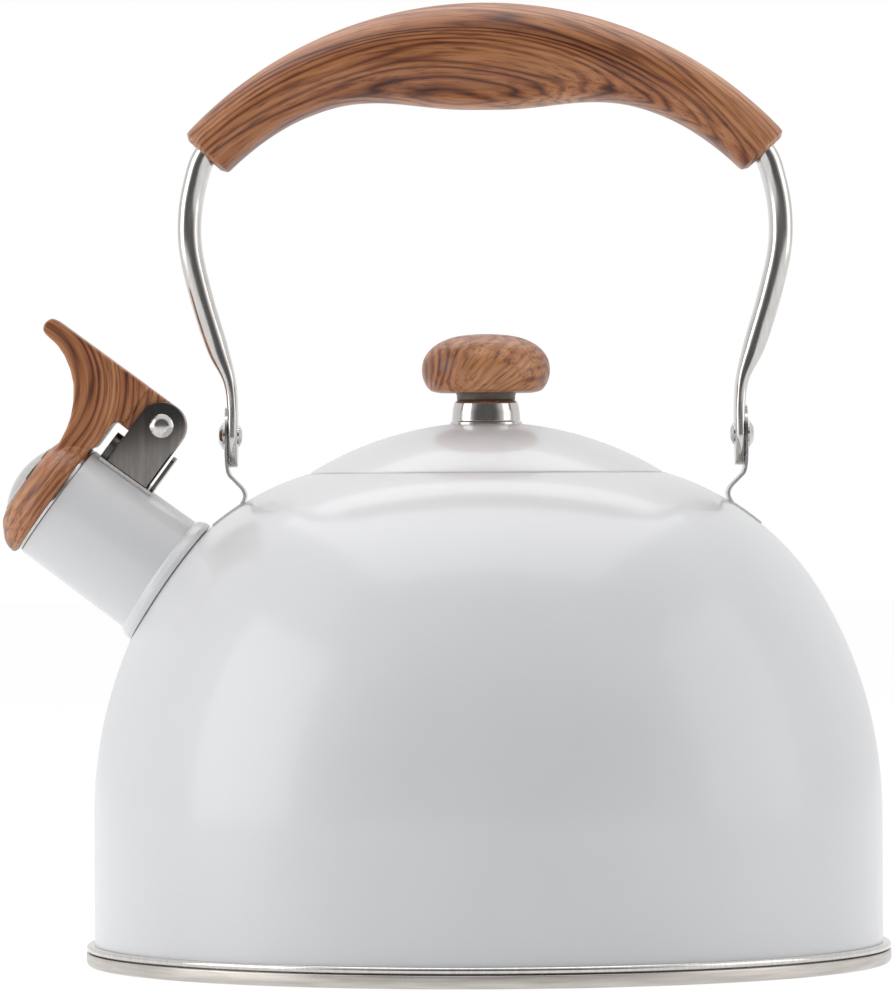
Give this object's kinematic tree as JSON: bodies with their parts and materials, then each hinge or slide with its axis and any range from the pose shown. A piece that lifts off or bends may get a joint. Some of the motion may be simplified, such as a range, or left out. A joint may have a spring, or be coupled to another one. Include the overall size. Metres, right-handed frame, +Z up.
{
  "type": "stovetop whistling kettle",
  "caption": "Domed stovetop kettle with a lift-off lid, a fold-down arched handle on two riveted ears, and a sprung lever cap with a whistle on its short spout.",
  "frame": {"origin": "on the resting plane, below the dome's centre", "axes": "+Z up, -X the way the spout points, +Y away from a viewer who sees the spout on the left; the handle folds about X"},
  "size_m": [0.2215, 0.201, 0.2399],
  "materials": {
    "enamel_white": "high-gloss white stoving enamel",
    "steel_polished": "stainless steel, polished",
    "steel_satin": "magnetic stainless steel, satin turned",
    "steel_plain": "stainless sheet, mill finish",
    "core_aluminium": "plain",
    "wood_print": "moulded phenolic with a printed wood grain, semi-matt lacquer",
    "brass_plain": "turned",
    "spring_wire": "bright spring wire",
    "screw_steel": "plain stainless fastener"
  },
  "bodies": {
    "kettle": {"body_shell": "enamel_white", "base_pan": "steel_polished", "heat_spreader": "core_aluminium", "base_cap": "steel_satin", "spout_tube": "enamel_white", "spout_collar": "enamel_white", "hinge_bracket": "steel_polished", "cap_hinge_pin": "steel_polished", "cap_spring": "spring_wire", "ear_left": "steel_plain", "ear_right": "steel_plain", "handle_rivet_left": "steel_polished", "handle_rivet_right": "steel_polished"},
    "lid": {"lid_shell": "enamel_white", "lid_skirt": "steel_plain", "knob_ferrule": "steel_polished", "knob": "wood_print", "knob_insert": "brass_plain", "knob_washer": "steel_plain", "knob_screw": "screw_steel"},
    "handle": {"grip": "wood_print", "arm_left": "steel_polished", "arm_right": "steel_polished", "grip_screws": "screw_steel"},
    "cap": {"spout_cap": "wood_print", "cap_liner": "steel_plain", "liner_screws": "screw_steel", "whistle_outer": "steel_polished", "whistle_inner": "steel_plain"}
  },
  "joints": [
    {"name": "handle_fold", "type": "hinge", "parent": "kettle", "child": "handle", "pos_m": [0, 0, 0.1318], "axis": [1, 0, 0], "range_deg": [-100, 100]},
    {"name": "lid_lift", "type": "slide", "parent": "kettle", "child": "lid", "axis": [0, 0, 1], "range_m": [0, 0.05]},
    {"name": "cap_open", "type": "hinge", "parent": "kettle", "child": "cap", "pos_m": [-0.08098, 0, 0.13439], "axis": [0, 1, 0], "range_deg": [0, 50], "stiffness_Nm_per_rad": 0.06, "springref_deg": -45.84, "deforming": ["cap_spring"]}
  ]
}
